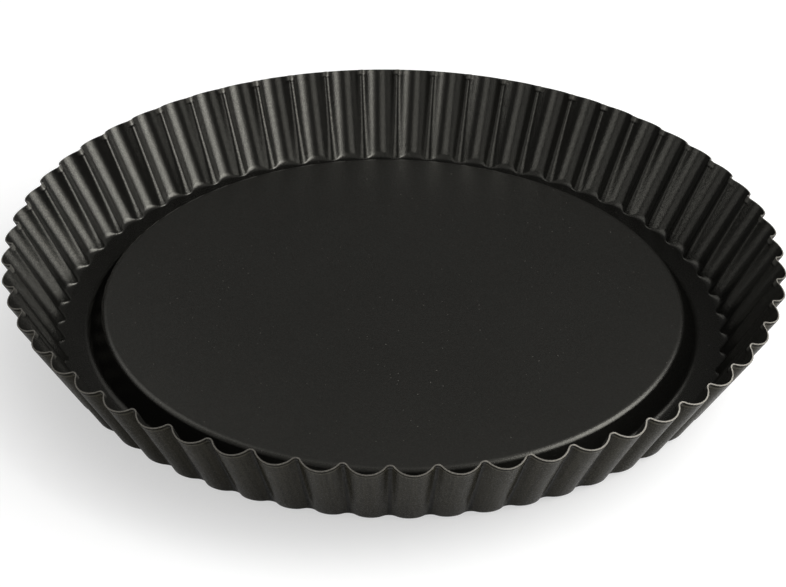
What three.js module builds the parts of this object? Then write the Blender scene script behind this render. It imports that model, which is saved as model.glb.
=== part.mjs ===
// Fluted fruit-flan pan: one round of steel sheet, coated on both faces while flat, then pressed and
// trimmed, so that only the cut edge round the rim is bare. Its three layers are three solids.
// Millimetres, +Z up. The origin is on the resting plane, under the middle of the pan.
import * as THREE from 'three';

// Overall size
const rimDiameter = 299; // inside, across two opposite lobes of the fluted rim
const panHeight = 35; // from the resting plane to the rim at a crest

// Layers of the sheet, from the food side to the outside
const innerCoatThickness = 0.04;
const steelThickness = 0.5;
const outerCoatThickness = 0.03;

// Fluted wall. A crest is a narrow ridge on the inside, a lobe the wide round channel between two crests.
const fluteCount = 58;
const fluteDepth = 3.8; // from crest to lobe at the rim, measured level
const rimDip = 1.9; // how much lower the rim runs at a lobe than at a crest
const rimCrestShare = 0.19; // the part of a flute that its crest takes at the rim
const footCrestShare = 0.36; // the same at the foot, where a crest broadens into a round nose
const crestFootRound = 0.7; // inside radius between floor and wall at a crest
const lobeFootRound = 3.8; // the same at a lobe

// Moat floor, the ring that the pan stands on
const floorDiameter = 254.6; // where the floor ends at a crest
const floorScallop = 0.9; // how much further out it ends at a lobe
const moatWidth = 8.85; // from there in to the corner at the foot of the raised middle

// Raised middle
const plateauRise = 8.2; // above the moat floor
const sideRun = 5.7; // level distance that its sloping side covers, corner to corner
const plateauRound = 3; // edge round its flat top
const stepFootRound = 3.6; // fold at the foot of its side

// Places round one flute where the wall is faceted, as parts of a flute counted from its crest
const flankPlaces = [0.06, 0.16, 0.3];
const lobeMiddle = 0.5;
const wallPlaces = [0, ...flankPlaces, lobeMiddle, ...flankPlaces.map((place) => 1 - place).reverse()];
const footMiddlePlaces = [0, 0.16, lobeMiddle, 0.84];
const floorEdgePlaces = [0, lobeMiddle];
const roundPlaces = [0];
const slopeStep = 1e-4; // part of a flute over which the wall's slope round the pan is taken

const sheetThickness = innerCoatThickness + steelThickness + outerCoatThickness;
const moatFloor = sheetThickness;
const plateauTop = moatFloor + plateauRise;
const crestRimRadius = rimDiameter / 2 - fluteDepth;
const floorRadius = floorDiameter / 2;
const stepFootRadius = floorRadius - moatWidth;
const plateauRadius = stepFootRadius - sideRun;
const sideAngle = Math.atan2(plateauRise, sideRun);
const flutePitch = (2 * Math.PI) / fluteCount;
const fluteAspect = fluteDepth / (crestRimRadius * flutePitch / 2); // depth to half width, at the rim
const flankSine = Math.sin(2 * Math.atan(fluteAspect)); // of a flank's slope where crest and lobe meet
const floorAngle = -Math.PI / 2; // a round's angle where it meets a level face
const upAxis = new THREE.Vector3(0, 0, 1);

// Depth of an arc at a distance from its middle. The arc takes a share of the flute's half width.
function arcDepth(distance, share) {
  const radius = share / flankSine;
  return (radius - Math.sqrt(radius ** 2 - distance ** 2)) / fluteAspect;
}

// How far the wall has gone from crest (0) to lobe (1) at a place round the flute. The crest's arc and the
// lobe's run into each other without a corner.
function fluteReach(place, crestShare) {
  const fromCrest = 1 - Math.abs(1 - 2 * THREE.MathUtils.euclideanModulo(place, 1));
  if (fromCrest < crestShare) return arcDepth(fromCrest, crestShare);
  return 1 - arcDepth(1 - fromCrest, 1 - crestShare);
}

// Foot round and straight wall of the food face at one place. The wall is the tangent from the rim's
// point to the round, and leaveAngle is where it touches.
function wallSection(place) {
  const footReach = fluteReach(place, footCrestShare);
  const rimReach = fluteReach(place, rimCrestShare);
  const round = THREE.MathUtils.lerp(crestFootRound, lobeFootRound, footReach);
  const centre = new THREE.Vector2(floorRadius + floorScallop * footReach, moatFloor + round);
  const rim = new THREE.Vector2(crestRimRadius + fluteDepth * rimReach, panHeight - rimDip * rimReach);
  const toRim = rim.clone().sub(centre);
  const leaveAngle = toRim.angle() - Math.acos(round / toRim.length());
  return { round, centre, rim, leaveAngle };
}

// Points of a section: radius, height and the angle of the outward normal.
// A bend runs from 0 on the level face to 1 where the sloping face begins.
function rimPoint(place) {
  const { rim, leaveAngle } = wallSection(place);
  return { r: rim.x, z: rim.y, angle: leaveAngle };
}

function wallFootPoint(place, bend) {
  const { round, centre, leaveAngle } = wallSection(place);
  const angle = THREE.MathUtils.lerp(floorAngle, leaveAngle, bend);
  return { r: centre.x + round * Math.cos(angle), z: centre.y + round * Math.sin(angle), angle };
}

function stepFootPoint(bend) {
  const angle = floorAngle - sideAngle * bend;
  const centreRadius = stepFootRadius + stepFootRound * Math.tan(sideAngle / 2);
  const r = centreRadius + stepFootRound * Math.cos(angle);
  const z = moatFloor + stepFootRound + stepFootRound * Math.sin(angle);
  return { r, z, angle };
}

function plateauEdgePoint(bend) {
  const angle = floorAngle - sideAngle * bend;
  const centreRadius = plateauRadius - plateauRound * Math.tan(sideAngle / 2);
  const r = centreRadius - plateauRound * Math.cos(angle);
  const z = plateauTop - plateauRound - plateauRound * Math.sin(angle);
  return { r, z, angle };
}

// Turns a section's point at a place of one flute into a point of the pan with its outward normal.
// Lobes lie on +X and -X, so a flute starts, at its crest, half a flute before its lobe.
function surfacePoint(section, flute, place) {
  const here = section(place);
  const before = section(place - slopeStep);
  const after = section(place + slopeStep);
  const turned = 2 * slopeStep * flutePitch;
  const radiusSlope = (after.r - before.r) / turned;
  const heightSlope = (after.z - before.z) / turned;
  const climb = new THREE.Vector2(-Math.sin(here.angle), Math.cos(here.angle));
  const sideways = heightSlope * climb.x - radiusSlope * climb.y;
  const outward = new THREE.Vector3(here.r * climb.y, sideways, -here.r * climb.x).normalize();
  const theta = (flute + place - lobeMiddle) * flutePitch;
  const point = new THREE.Vector3(here.r, 0, here.z).applyAxisAngle(upAxis, theta);
  return { theta, point, normal: outward.applyAxisAngle(upAxis, theta) };
}

function ring(section, places) {
  const points = [];
  for (let flute = 0; flute < fluteCount; flute += 1) {
    for (const place of places) points.push(surfacePoint(section, flute, place));
  }
  return points;
}

// The food face as rings from the rim to the middle
const rings = [
  ring(rimPoint, wallPlaces),
  ring((place) => wallFootPoint(place, 1), wallPlaces),
  ring((place) => wallFootPoint(place, 0.5), footMiddlePlaces),
  ring((place) => wallFootPoint(place, 0), floorEdgePlaces),
  ...[0, 0.5, 1].map((bend) => ring(() => stepFootPoint(bend), roundPlaces)),
  ...[1, 0.5, 0].map((bend) => ring(() => plateauEdgePoint(bend), roundPlaces)),
];
const middle = { point: new THREE.Vector3(0, 0, plateauTop), normal: new THREE.Vector3(0, 0, -1) };
const facePoints = [...rings.flat(), middle];

// Angle of a ring's nth point, counted on past a full turn
function turnOf(points, n) {
  return points[n % points.length].theta + 2 * Math.PI * Math.floor(n / points.length);
}

// Triangles between two rings, seen from above. Each step takes the next point of the ring that is behind.
function zipRings(outer, inner, outerStart, innerStart) {
  const found = [];
  let o = 0;
  let i = 0;
  while (o < outer.length || i < inner.length) {
    const outerNow = outerStart + (o % outer.length);
    const innerNow = innerStart + (i % inner.length);
    if (turnOf(outer, o + 1) <= turnOf(inner, i + 1)) {
      o += 1;
      found.push([outerNow, outerStart + (o % outer.length), innerNow]);
    } else {
      i += 1;
      found.push([outerNow, innerStart + (i % inner.length), innerNow]);
    }
  }
  return found;
}

function faceTriangles() {
  const found = [];
  let start = 0;
  for (let level = 0; level + 1 < rings.length; level += 1) {
    const nextStart = start + rings[level].length;
    found.push(...zipRings(rings[level], rings[level + 1], start, nextStart));
    start = nextStart;
  }
  const last = rings.at(-1).length;
  for (let i = 0; i < last; i += 1) found.push([start + i, start + ((i + 1) % last), start + last]);
  return found;
}

const triangles = faceTriangles();

// One layer of the sheet, from a depth below the food face: its two faces and its cut edge at the rim
function layer(name, depth, thickness, material) {
  const count = facePoints.length;
  const rimCount = rings[0].length;
  const vertices = [depth, depth + thickness].flatMap((offset) =>
    facePoints.flatMap(({ point, normal }) => point.clone().addScaledVector(normal, offset).toArray()));
  const faces = triangles.flatMap(([a, b, c]) => [a, b, c, count + a, count + c, count + b]);
  for (let i = 0; i < rimCount; i += 1) {
    const next = (i + 1) % rimCount;
    faces.push(i, count + i, next, next, count + i, count + next);
  }
  const geometry = new THREE.BufferGeometry();
  geometry.setAttribute('position', new THREE.Float32BufferAttribute(vertices, 3));
  geometry.setIndex(faces);
  geometry.computeVertexNormals();
  const mesh = new THREE.Mesh(geometry, material);
  mesh.name = name;
  return mesh;
}

const innerCoatMaterial = new THREE.MeshStandardMaterial({ color: 0x2b2b29, roughness: 0.42, metalness: 0.1 });
const steelMaterial = new THREE.MeshStandardMaterial({ color: 0xb9b8b3, roughness: 0.35, metalness: 1 });
const outerCoatMaterial = new THREE.MeshStandardMaterial({ color: 0x343432, roughness: 0.45, metalness: 0.1 });

const steelDepth = innerCoatThickness;
const outerCoatDepth = innerCoatThickness + steelThickness;
const pan = new THREE.Group();
pan.add(layer('inner_nonstick_coat', 0, innerCoatThickness, innerCoatMaterial));
pan.add(layer('steel_pressing', steelDepth, steelThickness, steelMaterial));
pan.add(layer('outer_coat', outerCoatDepth, outerCoatThickness, outerCoatMaterial));

export default pan;
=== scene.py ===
import math

import bpy
from mathutils import Matrix, Vector


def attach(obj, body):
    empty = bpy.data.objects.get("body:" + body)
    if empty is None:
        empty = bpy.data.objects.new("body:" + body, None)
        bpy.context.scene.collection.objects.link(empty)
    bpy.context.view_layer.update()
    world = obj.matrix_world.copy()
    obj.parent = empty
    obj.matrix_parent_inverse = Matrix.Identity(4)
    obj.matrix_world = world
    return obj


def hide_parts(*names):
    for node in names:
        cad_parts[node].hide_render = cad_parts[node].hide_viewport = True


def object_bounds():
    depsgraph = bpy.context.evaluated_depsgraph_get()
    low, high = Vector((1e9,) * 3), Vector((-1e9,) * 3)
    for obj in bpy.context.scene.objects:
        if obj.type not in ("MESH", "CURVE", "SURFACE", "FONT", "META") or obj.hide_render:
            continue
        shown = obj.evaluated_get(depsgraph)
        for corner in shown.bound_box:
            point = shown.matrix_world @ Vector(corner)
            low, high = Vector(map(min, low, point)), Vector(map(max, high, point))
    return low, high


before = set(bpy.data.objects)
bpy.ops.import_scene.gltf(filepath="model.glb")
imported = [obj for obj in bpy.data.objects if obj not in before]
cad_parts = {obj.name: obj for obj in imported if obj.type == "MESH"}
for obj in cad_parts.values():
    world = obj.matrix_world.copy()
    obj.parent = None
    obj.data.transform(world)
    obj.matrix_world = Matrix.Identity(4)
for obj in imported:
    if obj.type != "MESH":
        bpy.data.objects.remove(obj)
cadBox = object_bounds()
print("frame loaded:", ", ".join(sorted(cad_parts)))

mm = 0.001
scene = bpy.context.scene


class Wire:  # one output of a node tree; sums written on it add Math nodes
    def __init__(self, tree, socket=None):
        self.tree, self.socket = tree, socket

    def make(self, nodeType, settings=None, sockets=None, output=0):
        node = self.tree.nodes.new(nodeType)
        for name, value in (settings or {}).items():
            setattr(node, name, value)
        for name, value in (sockets or {}).items():
            if isinstance(value, Wire):
                self.tree.links.new(value.socket, node.inputs[name])
            else:
                node.inputs[name].default_value = value
        return Wire(self.tree, node.outputs[output])

    def math(self, operation, *others):
        return self.make("ShaderNodeMath", {"operation": operation}, dict(enumerate((self, *others))))

    def __add__(self, other):
        return self.math("ADD", other)

    def __sub__(self, other):
        return self.math("SUBTRACT", other)

    def __rsub__(self, other):
        return self.make("ShaderNodeMath", {"operation": "SUBTRACT"}, {0: other, 1: self})

    def __mul__(self, other):
        return self.math("MULTIPLY", other)

    def __truediv__(self, other):
        return self.math("DIVIDE", other)

    def __rtruediv__(self, other):
        return self.make("ShaderNodeMath", {"operation": "DIVIDE"}, {0: other, 1: self})

    def __pow__(self, other):
        return self.math("POWER", other)

    __radd__ = __add__
    __rmul__ = __mul__

    def sin(self):
        return self.math("SINE")

    def cos(self):
        return self.math("COSINE")

    def root(self):
        return self.math("SQRT")

    def ramp(self, low, high, toLow=0.0, toHigh=1.0, smooth=False):
        kind = "SMOOTHSTEP" if smooth else "LINEAR"
        values = {"Value": self, "From Min": low, "From Max": high, "To Min": toLow, "To Max": toHigh}
        return self.make("ShaderNodeMapRange", {"interpolation_type": kind, "clamp": True}, values)

    def fade(self, low, high, smooth=False):
        return self.ramp(low, high, 1.0, 0.0, smooth)

    def band(self, begin, full, easing, end):
        return self.ramp(begin, full) * self.fade(easing, end)

    def axis(self, number):
        return self.make("ShaderNodeSeparateXYZ", None, {0: self}, number)

    def vector(self, operation, sockets=None):
        return self.make("ShaderNodeVectorMath", {"operation": operation}, {0: self, **(sockets or {})})

    def mixColors(self, first, second):
        return self.make("ShaderNodeMix", {"data_type": "RGBA"}, {0: self, 6: first, 7: second}, 2)

    def sibling(self, name):  # another output of the same node
        return Wire(self.tree, self.socket.node.outputs[name])


# The pan is one sheet, so one tree makes its food face by rule and gives each layer its two faces.
# A crest is a narrow ridge on the inside, a lobe the wide channel between two crests.
innerThickness, steelThickness, outerThickness = 0.04 * mm, 0.5 * mm, 0.03 * mm
panForm = {
    "Flutes": 58,
    "Columns": 18,  # across one flute
    "Pan Height": cadBox[1].z,
    "Crest Rim Radius": 145.7 * mm,
    "Flute Depth": 3.8 * mm,
    "Rim Dip": 1.9 * mm,  # how much lower the rim runs at a lobe
    "Rim Crest Share": 0.19,  # the part of a flute that its crest takes at the rim
    "Foot Crest Share": 0.36,  # and at the foot, where it broadens into a round nose
    "Crest Foot Round": 0.7 * mm,
    "Lobe Foot Round": 3.8 * mm,
    "Floor Radius": 127.3 * mm,
    "Floor Scallop": 0.9 * mm,  # how much further out the floor ends at a lobe
    "Moat Width": 8.85 * mm,
    "Plateau Rise": 8.2 * mm,
    "Side Run": 5.7 * mm,  # level distance that the raised middle's side covers
    "Plateau Round": 3.0 * mm,
    "Step Foot Round": 3.6 * mm,
    "Sheet": innerThickness + steelThickness + outerThickness,
    "Rim Band": 3.4 * mm,  # finely divided band under the rim
    "Coin Height": 2.4 * mm,  # blunted end of each crest
    "Coin Depth": 0.36 * mm,
    "Coin Least": 0.55,  # share of that depth on the least blunted crest
    "Coin Flatness": 0.5,
    "Coin Seed": 4,
}
# rows of the grid in each zone, from the middle out to the rim
zoneRows = {"top": 2, "edge": 6, "side": 1, "fold": 5, "moat": 1, "foot": 8, "wall": 10, "rim": 12}
columnCrowding = 0.55  # how closely the columns crowd at the crests
weld = 0.001 * mm


def storeFields(start, geometry, fields):
    for name, field in fields.items():
        geometry = start.make("GeometryNodeStoreNamedAttribute", {"data_type": "FLOAT", "domain": "POINT"}, {
            "Geometry": geometry, "Name": name, "Value": field})
    return geometry


def flutedFace(start, size, pitch):
    # one flute's strip of the pan, from the middle to the rim
    rowCount = sum(zoneRows.values())
    strip = start.make("GeometryNodeMeshGrid", None, {
        "Size X": float(rowCount), "Size Y": 1.0,
        "Vertices X": rowCount + 1, "Vertices Y": size["Columns"] + 1})
    position = start.make("GeometryNodeInputPosition")
    row, across = position.axis(0) + rowCount / 2, position.axis(1) + 0.5
    place = across - (across * math.tau).sin() * (columnCrowding / math.tau)
    done, before = {}, 0  # how much of each zone lies further in than a point
    for zone, rows in zoneRows.items():
        done[zone] = row.ramp(before, before + rows)
        before += rows

    # how far the wall has gone from crest to lobe, on an arc for each that meet without a corner
    fromCrest = 1 - (1 - place * 2).math("ABSOLUTE")
    fromLobe = 1 - fromCrest
    aspect = size["Flute Depth"] * size["Flutes"] / (size["Crest Rim Radius"] * math.pi)
    flankSine = 2 * aspect / (aspect * aspect + 1)

    def fluteReach(crestShare):
        crestRound, lobeRound = crestShare / flankSine, (1 - crestShare) / flankSine
        crestPart = (crestRound - (crestRound * crestRound - fromCrest * fromCrest).root()) / aspect
        lobePart = 1 - (lobeRound - (lobeRound * lobeRound - fromLobe * fromLobe).root()) / aspect
        return lobePart + (crestPart - lobePart) * fromCrest.math("LESS_THAN", crestShare)

    footReach, rimReach = fluteReach(size["Foot Crest Share"]), fluteReach(size["Rim Crest Share"])

    # raised middle: flat top, rounded edge, sloping side and the fold at its foot
    rise, run, sheet = size["Plateau Rise"], size["Side Run"], size["Sheet"]
    topRound, stepRound = size["Plateau Round"], size["Step Foot Round"]
    slope = rise.math("ARCTAN2", run)
    corner = (slope / 2).math("TANGENT")
    stepRadius = size["Floor Radius"] - size["Moat Width"]
    sideLength = (rise * rise + run * run).root() - (topRound + stepRound) * corner
    edgeTurn, foldTurn = slope * done["edge"], slope * (1 - done["fold"])
    radius = (stepRadius - run - topRound * corner) * done["top"] + topRound * edgeTurn.sin()
    radius = radius + sideLength * slope.cos() * done["side"] + stepRound * (slope.sin() - foldTurn.sin())
    height = sheet + rise - topRound * (1 - edgeTurn.cos())
    height = height - sideLength * slope.sin() * done["side"] - stepRound * (foldTurn.cos() - slope.cos())

    # moat floor, foot round and straight wall, which follow the flute
    footRound = footReach * (size["Lobe Foot Round"] - size["Crest Foot Round"]) + size["Crest Foot Round"]
    floorEdge = size["Floor Radius"] + size["Floor Scallop"] * footReach
    outward = size["Crest Rim Radius"] + size["Flute Depth"] * rimReach - floorEdge
    upward = size["Pan Height"] - size["Rim Dip"] * rimReach - sheet - footRound
    direct = (outward * outward + upward * upward).root()
    wallLength = (direct * direct - footRound * footRound).root()
    wallAngle = upward.math("ARCTAN2", outward) - (footRound / direct).math("ARCCOSINE") + math.pi / 2
    footTurn = wallAngle * done["foot"]
    climbed = (wallLength - size["Rim Band"]) * done["wall"] + size["Rim Band"] * done["rim"]
    radius = radius + (floorEdge - stepRadius - stepRound * corner) * done["moat"]
    radius = radius + footRound * footTurn.sin() + climbed * wallAngle.cos()
    height = height + footRound * (1 - footTurn.cos()) + climbed * wallAngle.sin()

    # the coat turns matt in two steps round the raised middle's edge, and half of that ends in the fold
    mattSteps = done["edge"].ramp(0.42, 0.58) * 0.35 + done["edge"].ramp(0.72, 0.92) * 0.65
    strip = storeFields(start, strip, {
        "reach": rimReach,
        "climb": climbed / wallLength,
        "underRim": wallLength - climbed,
        "crestDepth": size["Flute Depth"] * rimReach,  # how far behind the crest's line
        "stretched": done["edge"] - done["fold"] * 0.5 + done["foot"] * 0.5,
        "drawn": mattSteps * done["fold"].ramp(0.25, 0.7, 1.0, 0.5) * (1 - done["foot"])})
    turn = (place - 0.5) * pitch
    point = start.make("ShaderNodeCombineXYZ", None, {
        0: radius * turn.cos(), 1: radius * turn.sin(), 2: height})
    strip = start.make("GeometryNodeSetPosition", None, {"Geometry": strip, "Position": point})

    # the strip repeated round the axis and joined into one face
    line = start.make("GeometryNodeMeshLine", None, {"Count": size["Flutes"], "Offset": (0.0, 0.0, 0.0)})
    spin = start.make("ShaderNodeCombineXYZ", None, {2: start.make("GeometryNodeInputIndex") * pitch})
    ring = start.make("GeometryNodeInstanceOnPoints", None, {
        "Points": line, "Instance": strip, "Rotation": spin})
    ring = start.make("GeometryNodeRealizeInstances", None, {"Geometry": ring})
    return start.make("GeometryNodeMergeByDistance", None, {"Geometry": ring, "Distance": weld})


def bluntCrests(start, size, pitch, face):
    # each crest is pressed back just under the rim, some more than others
    position = start.make("GeometryNodeInputPosition")
    flutesTurned = position.axis(1).math("ARCTAN2", position.axis(0)) / pitch + size["Flutes"]
    crestNumber = flutesTurned.math("FLOOR").math("MODULO", size["Flutes"])
    chance = start.make("FunctionNodeRandomValue", {"data_type": "FLOAT"}, {
        "ID": crestNumber, "Seed": size["Coin Seed"], 2: size["Coin Least"], 3: 1.0}, 1)
    underRim, crestDepth = (
        start.make("GeometryNodeInputNamedAttribute", {"data_type": "FLOAT"}, {"Name": name})
        for name in ("underRim", "crestDepth"))
    coinHeight = size["Coin Height"] * (0.7 + chance * 0.3)  # a weaker one is shorter too
    coined = (size["Coin Depth"] * chance - crestDepth * size["Coin Flatness"]).math("MAXIMUM", 0.0)
    coined = coined * underRim.fade(coinHeight * 0.88, coinHeight)
    outwards = position.vector("MULTIPLY", {1: (1.0, 1.0, 0.0)}).vector("NORMALIZE")
    press = outwards.vector("SCALE", {"Scale": coined})
    face = start.make("GeometryNodeSetPosition", None, {"Geometry": face, "Offset": press})

    # the pale end, a painted highlight, and the dark line below it
    fromRim = underRim / coinHeight
    onEnd, onLine = crestDepth.fade(0.35 * mm, 0.9 * mm), crestDepth.fade(1.0 * mm, 1.6 * mm)
    return storeFields(start, face, {
        "coinHighlightPlace": fromRim.fade(0.75, 0.95) * onEnd * chance,
        "coinLine": fromRim.band(0.85, 1.0, 1.1, 1.3) * onLine * chance})


def sheetShell(start, size, face):
    # this layer's near face, and the same face pushed out by its thickness
    toOutside = start.make("GeometryNodeInputNormal").vector("SCALE", {"Scale": -1.0})
    shift = toOutside.vector("SCALE", {"Scale": size["Depth"]})
    near = start.make("GeometryNodeSetPosition", None, {"Geometry": face, "Offset": shift})
    far = start.make("GeometryNodeExtrudeMesh", {"mode": "FACES"}, {
        "Mesh": near, "Offset": toOutside, "Offset Scale": size["Thickness"], "Individual": False})
    far = start.make("GeometryNodeFlipFaces", None, {"Mesh": far})
    both = start.make("GeometryNodeJoinGeometry", None, {"Geometry": near})
    start.tree.links.new(far.socket, both.socket.node.inputs["Geometry"])
    shell = start.make("GeometryNodeMergeByDistance", None, {"Geometry": both, "Distance": weld})

    # smooth faces, with sharp edges where the sheet is cut
    shell = start.make("GeometryNodeSetShadeSmooth", {"domain": "FACE"}, {
        "Geometry": shell, "Shade Smooth": True})
    cutEdge = start.make("GeometryNodeInputMeshEdgeAngle").math("GREATER_THAN", math.radians(45))
    shell = start.make("GeometryNodeSetShadeSmooth", {"domain": "EDGE"}, {
        "Geometry": shell, "Selection": cutEdge, "Shade Smooth": False})
    shell = start.make("GeometryNodeRealizeInstances", None, {"Geometry": shell})
    return start.make("GeometryNodeSetMaterial", None, {"Geometry": shell, "Material": size["Material"]})


def buildSheetTree():
    tree = bpy.data.node_groups.new("flutedSheet", "GeometryNodeTree")
    for name, value in {**panForm, "Depth": 0.0, "Thickness": 0.0}.items():
        kind = "NodeSocketInt" if isinstance(value, int) else "NodeSocketFloat"
        tree.interface.new_socket(name=name, in_out="INPUT", socket_type=kind)
    tree.interface.new_socket(name="Material", in_out="INPUT", socket_type="NodeSocketMaterial")
    tree.interface.new_socket(name="Geometry", in_out="OUTPUT", socket_type="NodeSocketGeometry")
    groupInput = tree.nodes.new("NodeGroupInput")
    size = {socket.name: Wire(tree, socket) for socket in groupInput.outputs if socket.name}
    start = Wire(tree)
    pitch = math.tau / size["Flutes"]
    face = bluntCrests(start, size, pitch, flutedFace(start, size, pitch))
    shell = sheetShell(start, size, face)
    tree.links.new(shell.socket, tree.nodes.new("NodeGroupOutput").inputs[0])
    return tree


sheetTree = buildSheetTree()
print("sheet tree:", len(sheetTree.nodes), "nodes")


def makeLayer(settings, material):
    piece = bpy.data.objects.new(settings["name"], bpy.data.meshes.new(settings["name"]))
    scene.collection.objects.link(piece)
    modifier = piece.modifiers.new("flutedSheet", "NODES")
    modifier.node_group = sheetTree
    values = {**panForm, "Depth": settings["depth"], "Thickness": settings["thickness"], "Material": material}
    for item in sheetTree.interface.items_tree:
        if item.in_out == "INPUT":
            modifier[item.identifier] = values[item.name]
    evaluated = piece.evaluated_get(bpy.context.evaluated_depsgraph_get())
    baked = bpy.data.meshes.new_from_object(evaluated)
    piece.modifiers.remove(modifier)
    baked.name = settings["name"]
    piece.data = baked
    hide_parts(settings["node"])
    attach(piece, "root")
    print(settings["name"] + ":", len(baked.polygons), "faces")


def newMaterial(name):
    material = bpy.data.materials.new(name)
    material.use_nodes = True
    material.node_tree.nodes.clear()
    return material, Wire(material.node_tree)


def finishMaterial(start, shader):
    output = start.tree.nodes.new("ShaderNodeOutputMaterial")
    start.tree.links.new(shader.socket, output.inputs["Surface"])


def coatMaterial(finish):
    material, start = newMaterial(finish["name"])
    spot = start.make("ShaderNodeTexCoord", None, None, 3)
    names = ("reach", "climb", "underRim", "stretched", "drawn", "coinHighlightPlace", "coinLine")
    reach, climb, underRim, stretched, drawn, coinHighlightPlace, coinLine = (
        start.make("ShaderNodeAttribute", {"attribute_name": name}, None, 2) for name in names)

    def noise(size, detail, roughness=0.5):
        return start.make("ShaderNodeTexNoise", None, {
            "Vector": spot, "Scale": 1 / size, "Detail": detail, "Roughness": roughness})

    grain, pebble = noise(finish["grainSize"], 2.0, 0.6), noise(finish["pebbleSize"], 1.0)
    mottle, cloud = noise(finish["mottleSize"], 1.0), noise(finish["cloudSize"], 3.0)
    onWall = climb.ramp(0.0, 0.03)
    crest = reach.fade(0.01, 0.10, True) * onWall

    # light specks on the flat parts
    speckCell = start.make("ShaderNodeTexVoronoi", None, {
        "Vector": spot, "Scale": 1 / finish["speckSpacing"]})
    speckPick = start.make("ShaderNodeSeparateColor", None, {0: speckCell.sibling("Color")})
    speck = speckCell.fade(finish["speckRadius"] * 0.5, finish["speckRadius"])
    speck = speck * speckPick.ramp(finish["speckRarity"], 1.0) * finish["speckShare"]
    speck = speck * stretched.fade(0.3, 0.8)

    # painted highlight and painted shadow along the trimmed lip under the rim, and streaks that run up the
    # wall
    trimLine = underRim.band(*finish["trimLine"]) * onWall
    trimPaintedShadow = underRim.band(*finish["trimPaintedShadow"]) * onWall
    turned = spot.axis(1).math("ARCTAN2", spot.axis(0))
    alongWall = start.make("ShaderNodeCombineXYZ", None, {
        0: turned * (finish["streakRadius"] / finish["streakWidth"]),
        1: spot.axis(2) / finish["streakLength"]})
    streak = start.make("ShaderNodeTexNoise", None, {
        "Vector": alongWall, "Scale": 1.0, "Detail": 2.0}) * onWall

    roughness = stretched.ramp(0.0, 1.0, finish["flatRoughness"], finish["roughness"])
    roughness = roughness + (cloud - 0.5) * finish["cloudRoughness"]
    roughness = roughness + (grain - 0.5) * finish["grainRoughness"] - crest * finish["crestPolish"]
    fleck = grain.ramp(0.35, 0.75) * finish["fleckShare"] + streak.ramp(0.35, 0.7) * finish["streakShare"]
    # pale: the real specks and flecks, plus painted highlights at the crests' ends and along the trim line
    pale = fleck + speck + coinHighlightPlace * finish["coinPaintedHighlight"] + trimLine * finish["trimPaintedHighlight"]
    color = pale.math("MINIMUM", 1.0).mixColors(finish["color"], finish["speckColor"])
    # painted shade: darker in the crests' grooves outside, in the gap under the rim's lip and on the raised
    # middle's side
    paintedShade = (reach.fade(0.0, 0.14) * onWall).math("MAXIMUM", trimPaintedShadow) * finish["paintedGrooveShade"]
    paintedShade = (paintedShade + drawn * finish["drawnPaintedShade"]).math("MINIMUM", 1.0)
    color = paintedShade.mixColors(color, finish["paintedShadeColor"])
    bump = start.make("ShaderNodeBump", None, {
        "Strength": 1.0, "Distance": 1.0,
        "Height": grain * finish["grainHeight"] + pebble * finish["pebbleHeight"]})
    satin = start.make("ShaderNodeBsdfPrincipled", None, {
        "Base Color": color, "Roughness": roughness, "Normal": bump, "IOR": finish["ior"],
        "Specular IOR Level": finish["specular"], "Specular Tint": finish["paintedLampTint"],
        "Coat Weight": grain.ramp(0.35, 0.7) * finish["glitter"], "Coat Roughness": 0.3})
    matt = start.make("ShaderNodeBsdfPrincipled", None, {
        "Base Color": color, "Roughness": 0.7, "Normal": bump, "IOR": 1.0, "Specular IOR Level": 0.0})
    uneven = stretched.ramp(0.0, 1.0, finish["flatMottle"], 1.0) * (1 - drawn)
    hollows = (mottle.ramp(0.35, 0.65) - 0.5) * uneven + 0.5
    mattShare = drawn * finish["drawnMatt"] + coinLine * finish["lineMatt"]
    mattShare = mattShare + trimPaintedShadow * finish["paintedGrooveShade"] * finish["gapMatt"]
    mattShare = mattShare + hollows * finish["speckle"] + finish["matt"]
    mattShare = mattShare.math("MINIMUM", 1.0)
    finishMaterial(start, start.make("ShaderNodeMixShader", None, {0: mattShare, 1: satin, 2: matt}))
    return material


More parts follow.
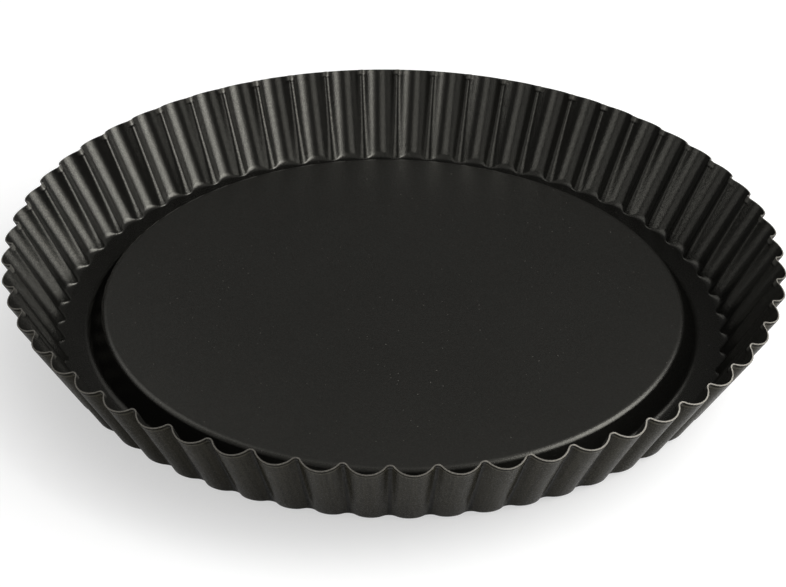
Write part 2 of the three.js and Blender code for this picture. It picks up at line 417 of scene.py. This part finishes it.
foodCoat = {
    "name": "foodCoat",
    "color": (0.0043, 0.0042, 0.0037, 1.0),
    "paintedLampTint": (1.0, 0.975, 0.865, 1.0),  # of its gloss; it paints in the lamps' warm colour
    "speckColor": (0.40, 0.385, 0.34, 1.0),  # specks, flecks, and the painted highlights at the crests' ends and the trim line
    # the colour of the painted shade
    "paintedShadeColor": (0.0018, 0.0018, 0.0016, 1.0),
    "ior": 1.5,
    "specular": 0.95,
    "roughness": 0.2,  # where the sheet was stretched
    "flatRoughness": 0.34,
    "cloudRoughness": 0.06,
    "grainRoughness": 0.08,
    "crestPolish": 0.03,
    "glitter": 0.25,
    "matt": 0.0,  # share of the coat that has no gloss
    "speckle": 0.38,  # the same in tiny hollows
    "flatMottle": 0.2,  # how much the hollows show on the flat parts
    "drawnMatt": 0.73,  # share without gloss on the raised middle's side
    # painted shade on the raised middle's side
    "drawnPaintedShade": 0.3,
    "lineMatt": 0.8,  # in the dark line below a crest's end
    "gapMatt": 0.6,  # and under the cut edge
    "coinPaintedHighlight": 0.25,  # painted highlight: how far the coat is painted pale at the crests' ends
    "trimPaintedHighlight": 0.0,  # painted highlight along the line where the rim was trimmed
    "trimLine": (1.1 * mm, 1.4 * mm, 1.7 * mm, 2.1 * mm),  # that line, from the rim down
    "trimPaintedShadow": (0.3 * mm, 0.5 * mm, 0.7 * mm, 1.0 * mm),  # and the painted shadow of the trimmed lip above it
    "paintedGrooveShade": 0.0,  # how dark the painted shade in that gap and the crests' grooves is
    "fleckShare": 0.0125,
    "streakShare": 0.002,
    "streakWidth": 1.1 * mm,
    "streakLength": 45 * mm,
    "streakRadius": 145 * mm,  # of the wall
    "grainSize": 0.5 * mm,
    "grainHeight": 0.06 * mm,
    "pebbleSize": 1.6 * mm,
    "pebbleHeight": 0.015 * mm,
    "mottleSize": 0.65 * mm,
    "cloudSize": 40 * mm,
    "speckSpacing": 2.4 * mm,
    "speckRadius": 0.1,  # in parts of the spacing
    "speckRarity": 0.6,  # share of the specks that is left out
    "speckShare": 0.55,
}
outsideLacquer = {
    **foodCoat,
    "name": "outsideLacquer",
    "color": (0.021, 0.0185, 0.0112, 1.0),
    "speckColor": (0.40, 0.365, 0.265, 1.0),
    "ior": 1.2,
    "specular": 0.5,
    "roughness": 0.26,
    "matt": 0.14,
    "drawnPaintedShade": 0.0,
    "coinPaintedHighlight": 0.0,
    "trimPaintedHighlight": 0.15,
    "paintedGrooveShade": 0.85,
    "fleckShare": 0.065,
    "streakShare": 0.055,
}
cutSteel = {
    "name": "cutSteel",
    "color": (0.28, 0.265, 0.235, 1.0),
    "roughness": 0.58,
    "grainSize": 0.5 * mm,
    "grainDark": 0.55,  # brightness of the grain's dark spots
    "grainRoughness": 0.2,
}


def steelMaterial(finish):
    material, start = newMaterial(finish["name"])
    spot = start.make("ShaderNodeTexCoord", None, None, 3)
    grain = start.make("ShaderNodeTexNoise", None, {
        "Vector": spot, "Scale": 1 / finish["grainSize"], "Detail": 2.0})
    bright = grain.ramp(0.3, 0.7, finish["grainDark"], 1.0)
    shade = start.make("ShaderNodeCombineColor", None, {0: bright, 1: bright, 2: bright})
    color = start.make("ShaderNodeMix", {"data_type": "RGBA", "blend_type": "MULTIPLY"}, {
        0: 1.0, 6: finish["color"], 7: shade}, 2)
    roughness = finish["roughness"] + (grain - 0.5) * finish["grainRoughness"]
    steel = start.make("ShaderNodeBsdfPrincipled", None, {
        "Base Color": color, "Metallic": 1.0, "Roughness": roughness})
    finishMaterial(start, steel)
    return material


innerLayer = {
    "name": "innerCoat", "node": "inner_nonstick_coat", "slot": "nonstick_coat",
    "depth": 0.0, "thickness": innerThickness}
steelLayer = {
    "name": "steelSheet", "node": "steel_pressing", "slot": "sheet_steel",
    "depth": innerThickness, "thickness": steelThickness}
outerLayer = {
    "name": "outerCoat", "node": "outer_coat", "slot": "outside_lacquer",
    "depth": innerThickness + steelThickness, "thickness": outerThickness}
makeLayer(innerLayer, coatMaterial(foodCoat))
makeLayer(steelLayer, steelMaterial(cutSteel))
makeLayer(outerLayer, coatMaterial(outsideLacquer))
print("pan made")


# Studio: pale floor, one large soft light on the right with two brighter places, weak ones round the rest
studio = {
    "floorSize": 6.0,
    "floorColor": (0.42, 0.42, 0.415, 1.0),
    "floorGlow": 0.74,
    "shadowReach": 0.04,
    "shadeFrom": (0.72, 0.34, 0.60),  # the side that the floor's shade opens to
    "shadeEnd": 0.8,  # openness from which the floor has no shade
    "shadeLift": 0.6,  # how much paler the shade is to the camera than in reflections
    "roomLow": 0.06,  # brightness of the room level with the pan
    "roomHigh": 0.44,  # and overhead
    "roomRise": (0.3, 0.85),  # heights between which it grows
}
# bearing is counted from +X towards +Y, glow is the brightness of the light's face
lights = {
    "key": {"bearing": 1, "height": 36, "distance": 1.2, "size": (1.9, 1.4), "glow": 0.75},
    "keyLow": {"bearing": -2, "height": 24.5, "distance": 1.18, "size": (1.16, 0.54), "glow": 2.0},
    "keyHigh": {"bearing": 6, "height": 45, "distance": 1.16, "size": (1.0, 0.72), "glow": 3.9},
    "frontFill": {"bearing": -112, "height": 30, "distance": 1.3, "size": (0.94, 0.7), "glow": 0.9},
    "leftFill": {"bearing": 188, "height": 27, "distance": 1.4, "size": (1.3, 0.9), "glow": 0.36},
    "backFill": {"bearing": 142, "height": 44, "distance": 1.4, "size": (1.1, 0.8), "glow": 0.7},
}


def softLight(name, settings):
    bearing, height = math.radians(settings["bearing"]), math.radians(settings["height"])
    level = Vector((math.cos(bearing), math.sin(bearing), 0)) * math.cos(height)
    towards = level + Vector((0, 0, math.sin(height)))
    lamp = bpy.data.lights.new(name, "AREA")
    lamp.shape = "ELLIPSE"
    lamp.size, lamp.size_y = settings["size"]
    faceArea = math.pi / 4 * lamp.size * lamp.size_y
    lamp.energy = settings["glow"] * math.pi * faceArea
    light = bpy.data.objects.new(name, lamp)
    light.location = towards * settings["distance"]
    light.rotation_euler = towards.to_track_quat("Z", "Y").to_euler()
    scene.collection.objects.link(light)


def makeFloor():
    half = studio["floorSize"] / 2
    corners = [(-half, -half, 0), (half, -half, 0), (half, half, 0), (-half, half, 0)]
    mesh = bpy.data.meshes.new("floor")
    mesh.from_pydata(corners, [], [(0, 1, 2, 3)])
    floor = bpy.data.objects.new("floor", mesh)
    scene.collection.objects.link(floor)
    material, start = newMaterial("paleFloor")
    mesh.materials.append(material)
    rays = start.make("ShaderNodeLightPath")
    direct = seen = rays.sibling("Is Camera Ray")
    for kind in ("Is Glossy Ray", "Is Transmission Ray"):
        seen = seen.math("MAXIMUM", rays.sibling(kind))
    towardsKey = start.make("ShaderNodeCombineXYZ", None, dict(enumerate(studio["shadeFrom"])))
    openness = start.make("ShaderNodeAmbientOcclusion", {"samples": 8}, {
        "Distance": studio["shadowReach"], "Normal": towardsKey}, 1).ramp(0.0, studio["shadeEnd"])
    white = seen * (openness + (1 - openness) * direct * studio["shadeLift"])
    lit = start.make("ShaderNodeBsdfDiffuse", None, {"Color": studio["floorColor"]})
    glow = start.make("ShaderNodeEmission", None, {"Strength": white * studio["floorGlow"]})
    finishMaterial(start, start.make("ShaderNodeAddShader", None, {0: lit, 1: glow}))


def makeRoom():
    world = bpy.data.worlds.new("studioRoom")
    scene.world = world
    world.use_nodes = True
    world.node_tree.nodes.clear()
    room = Wire(world.node_tree)
    aloft = room.make("ShaderNodeTexCoord").axis(2).ramp(*studio["roomRise"]) ** 2
    brightness = studio["roomLow"] + (studio["roomHigh"] - studio["roomLow"]) * aloft
    sky = room.make("ShaderNodeBackground", None, {"Strength": brightness})
    output = world.node_tree.nodes.new("ShaderNodeOutputWorld")
    world.node_tree.links.new(sky.socket, output.inputs["Surface"])


makeRoom()
makeFloor()
for lightName, lightSettings in lights.items():
    softLight(lightName, lightSettings)
print("studio made")


# Camera at the photograph's place: it looks down at the middle of the rim
cameraView = {
    "lens": 108.84,
    "sensor": 36.0,
    "distance": 914.8 * mm,
    "elevation": 0.5596,  # in radians, as the roll is
    "roll": 0.0183,
    "aside": (-0.54 * mm, -20.40 * mm),  # across and up in the picture, from the rim's centre
    "rimHeight": 34.87 * mm,
}


def makeCamera(view):
    back = Vector((0, -math.cos(view["elevation"]), math.sin(view["elevation"])))
    level = Vector((1, 0, 0))
    upright = back.cross(level)
    right = math.cos(view["roll"]) * level + math.sin(view["roll"]) * upright
    up = back.cross(right)
    place = Vector((0, 0, view["rimHeight"])) + view["distance"] * back
    place += view["aside"][0] * right + view["aside"][1] * up
    camera = bpy.data.objects.new("camera", bpy.data.cameras.new("camera"))
    camera.data.lens, camera.data.sensor_width = view["lens"], view["sensor"]
    camera.matrix_world = Matrix.Translation(place) @ Matrix((right, up, back)).transposed().to_4x4()
    scene.collection.objects.link(camera)
    scene.camera = camera


makeCamera(cameraView)
scene.view_settings.view_transform = "Standard"
